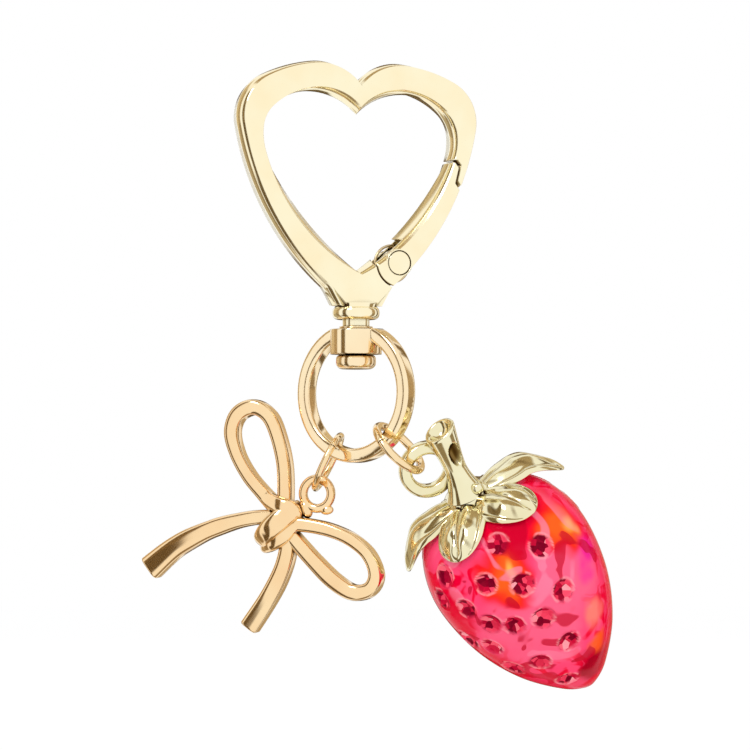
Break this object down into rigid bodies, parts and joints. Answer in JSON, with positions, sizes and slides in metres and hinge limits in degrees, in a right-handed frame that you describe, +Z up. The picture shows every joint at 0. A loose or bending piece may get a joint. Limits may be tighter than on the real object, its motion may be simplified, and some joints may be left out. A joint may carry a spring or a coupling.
{
  "type": "charm keychain",
  "caption": "Gold heart-shaped spring clasp with a swivel ring that carries a metal ribbon bow charm and a glossy translucent red strawberry charm.",
  "frame": {"origin": "tip of the heart's inner top notch, at mid thickness, where a loop or key ring hangs the part", "axes": "+Z up from the charms to the heart, +X to the gate's side, -Y out of the heart's front face"},
  "size_m": [0.0612, 0.043, 0.0878],
  "materials": {
    "clasp_gold": "polished pale gold plating",
    "wire_gold": "polished gold plating",
    "rose_gold": "polished warm gold plating",
    "cap_gold": "polished pale greenish gold plating",
    "spring_steel": "drawn wire, plated",
    "peg_steel": "plain",
    "berry_resin": "glossy translucent resin"
  },
  "bodies": {
    "clasp": {"heart_frame": "clasp_gold", "gate_pin": "clasp_gold", "gate_spring": "spring_steel", "swivel_rivet": "clasp_gold", "swivel_washer": "clasp_gold"},
    "gate": {"gate_lever": "clasp_gold"},
    "swivel": {"swivel_ring": "clasp_gold"},
    "bow_link": {"bow_jump_ring": "wire_gold"},
    "bow": {"bow_ribbon": "rose_gold", "bow_eyelet": "rose_gold"},
    "berry_link": {"berry_jump_ring": "wire_gold"},
    "berry": {"berry_body": "berry_resin", "leaf_cap": "cap_gold", "cap_peg": "peg_steel", "cap_stem": "cap_gold", "berry_eyelet": "cap_gold"}
  },
  "joints": [
    {"name": "gate_hinge", "type": "hinge", "parent": "clasp", "child": "gate", "pos_m": [0.00572, 0, -0.02076], "axis": [0, -1, 0], "range_deg": [0, 28], "stiffness_Nm_per_rad": 0.03, "springref_deg": -17.19, "deforming": ["gate_spring"]},
    {"name": "swivel_turn", "type": "hinge", "parent": "clasp", "child": "swivel", "pos_m": [0, 0, -0.03896], "axis": [0, 0, 1], "continuous": true},
    {"name": "bow_link_swing", "type": "hinge", "parent": "swivel", "child": "bow_link", "pos_m": [-0.00184, 0.00347, -0.04684], "axis": [0.774, -0.46, -0.4351], "range_deg": [-12, 20]},
    {"name": "bow_swing", "type": "hinge", "parent": "bow_link", "child": "bow", "pos_m": [-0.00391, 0.00511, -0.05225], "axis": [-0.6947, -0.7193, 0], "range_deg": [-10, 4]},
    {"name": "berry_link_swing", "type": "hinge", "parent": "swivel", "child": "berry_link", "pos_m": [0.00276, -0.0052, -0.0455], "axis": [0.4783, -0.575, 0.6638], "range_deg": [-10, 20]},
    {"name": "berry_swing", "type": "hinge", "parent": "berry_link", "child": "berry", "pos_m": [0.00689, -0.00648, -0.04959], "axis": [-0.1669, -0.9256, -0.3399], "range_deg": [-5, 30]}
  ]
}
